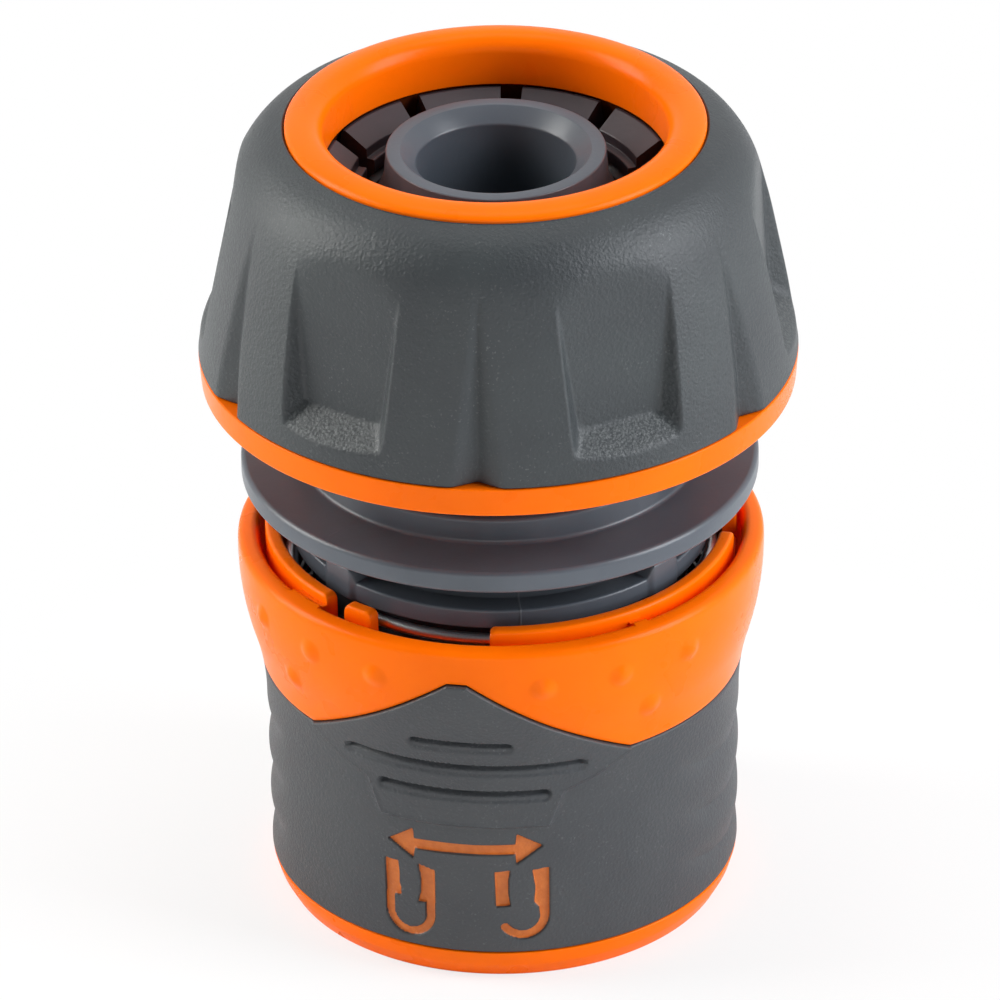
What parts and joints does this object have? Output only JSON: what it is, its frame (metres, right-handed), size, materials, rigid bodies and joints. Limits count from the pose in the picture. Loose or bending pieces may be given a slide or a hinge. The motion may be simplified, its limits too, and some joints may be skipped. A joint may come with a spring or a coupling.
{
  "type": "garden hose quick connector",
  "caption": "Garden hose quick connector: clamping nut with collet over a barbed tail, finger flange, and a sprung sleeve that twists to lock and slides back to free the plug.",
  "frame": {"origin": "centre of the sleeve's flat lower ring, on which the part stands, at bounding-box bottom centre", "axes": "+Z along the water way towards the hose end; the sleeve's front grip panel faces -Y"},
  "size_m": [0.0484, 0.0484, 0.0694],
  "materials": {
    "orange_plastic": "satin moulded orange plastic",
    "grey_soft_grip": "fine-grained soft grey overmould",
    "grey_plastic": "smooth moulded grey plastic",
    "brown_grey_plastic": "smooth moulded brown-grey plastic",
    "claw_plastic": "hard smooth dark plastic",
    "spring_steel": "bright drawn steel wire"
  },
  "bodies": {
    "body": {"connector_body": "grey_plastic", "end_ring": "grey_plastic"},
    "spring": {"release_spring": "spring_steel"},
    "sleeve": {"release_sleeve": "orange_plastic", "sleeve_grip": "grey_soft_grip"},
    "collet": {"hose_collet": "brown_grey_plastic"},
    "nut": {"nut_shell": "orange_plastic", "nut_grip": "grey_soft_grip"},
    "claw_1": {"lock_claw_1": "claw_plastic"},
    "claw_2": {"lock_claw_2": "claw_plastic"},
    "claw_3": {"lock_claw_3": "claw_plastic"},
    "claw_4": {"lock_claw_4": "claw_plastic"}
  },
  "joints": [
    {"name": "sleeve_twist", "type": "hinge", "parent": "body", "child": "spring", "pos_m": [0, 0, 0.016], "axis": [0, 0, 1], "range_deg": [0, 22]},
    {"name": "sleeve_slide", "type": "slide", "parent": "spring", "child": "sleeve", "axis": [0, 0, 1], "range_m": [0, 0.0042], "stiffness_N_per_m": 800, "springref_m": -0.01, "deforming": ["release_spring"]},
    {"name": "nut_lift", "type": "slide", "parent": "body", "child": "collet", "axis": [0, 0, 1], "range_m": [-0.0042, 0.0054]},
    {"name": "nut_turn", "type": "hinge", "parent": "collet", "child": "nut", "pos_m": [0, 0, 0.055], "axis": [0, 0, 1], "range_deg": [-505, 649]},
    {"name": "claw_1_slide", "type": "slide", "parent": "body", "child": "claw_1", "axis": [0.7071, -0.7071, 0], "range_m": [0, 0.00125]},
    {"name": "claw_2_slide", "type": "slide", "parent": "body", "child": "claw_2", "axis": [0.7071, 0.7071, 0], "range_m": [0, 0.00125]},
    {"name": "claw_3_slide", "type": "slide", "parent": "body", "child": "claw_3", "axis": [-0.7071, 0.7071, 0], "range_m": [0, 0.00125]},
    {"name": "claw_4_slide", "type": "slide", "parent": "body", "child": "claw_4", "axis": [-0.7071, -0.7071, 0], "range_m": [0, 0.00125]}
  ],
  "couplings": [
    {"joint": "nut_turn", "follows": "nut_lift", "rad_per_m": 2094.4},
    {"joint": "claw_1_slide", "follows": "sleeve_slide", "ratio": 0.2976},
    {"joint": "claw_2_slide", "follows": "sleeve_slide", "ratio": 0.2976},
    {"joint": "claw_3_slide", "follows": "sleeve_slide", "ratio": 0.2976},
    {"joint": "claw_4_slide", "follows": "sleeve_slide", "ratio": 0.2976}
  ]
}
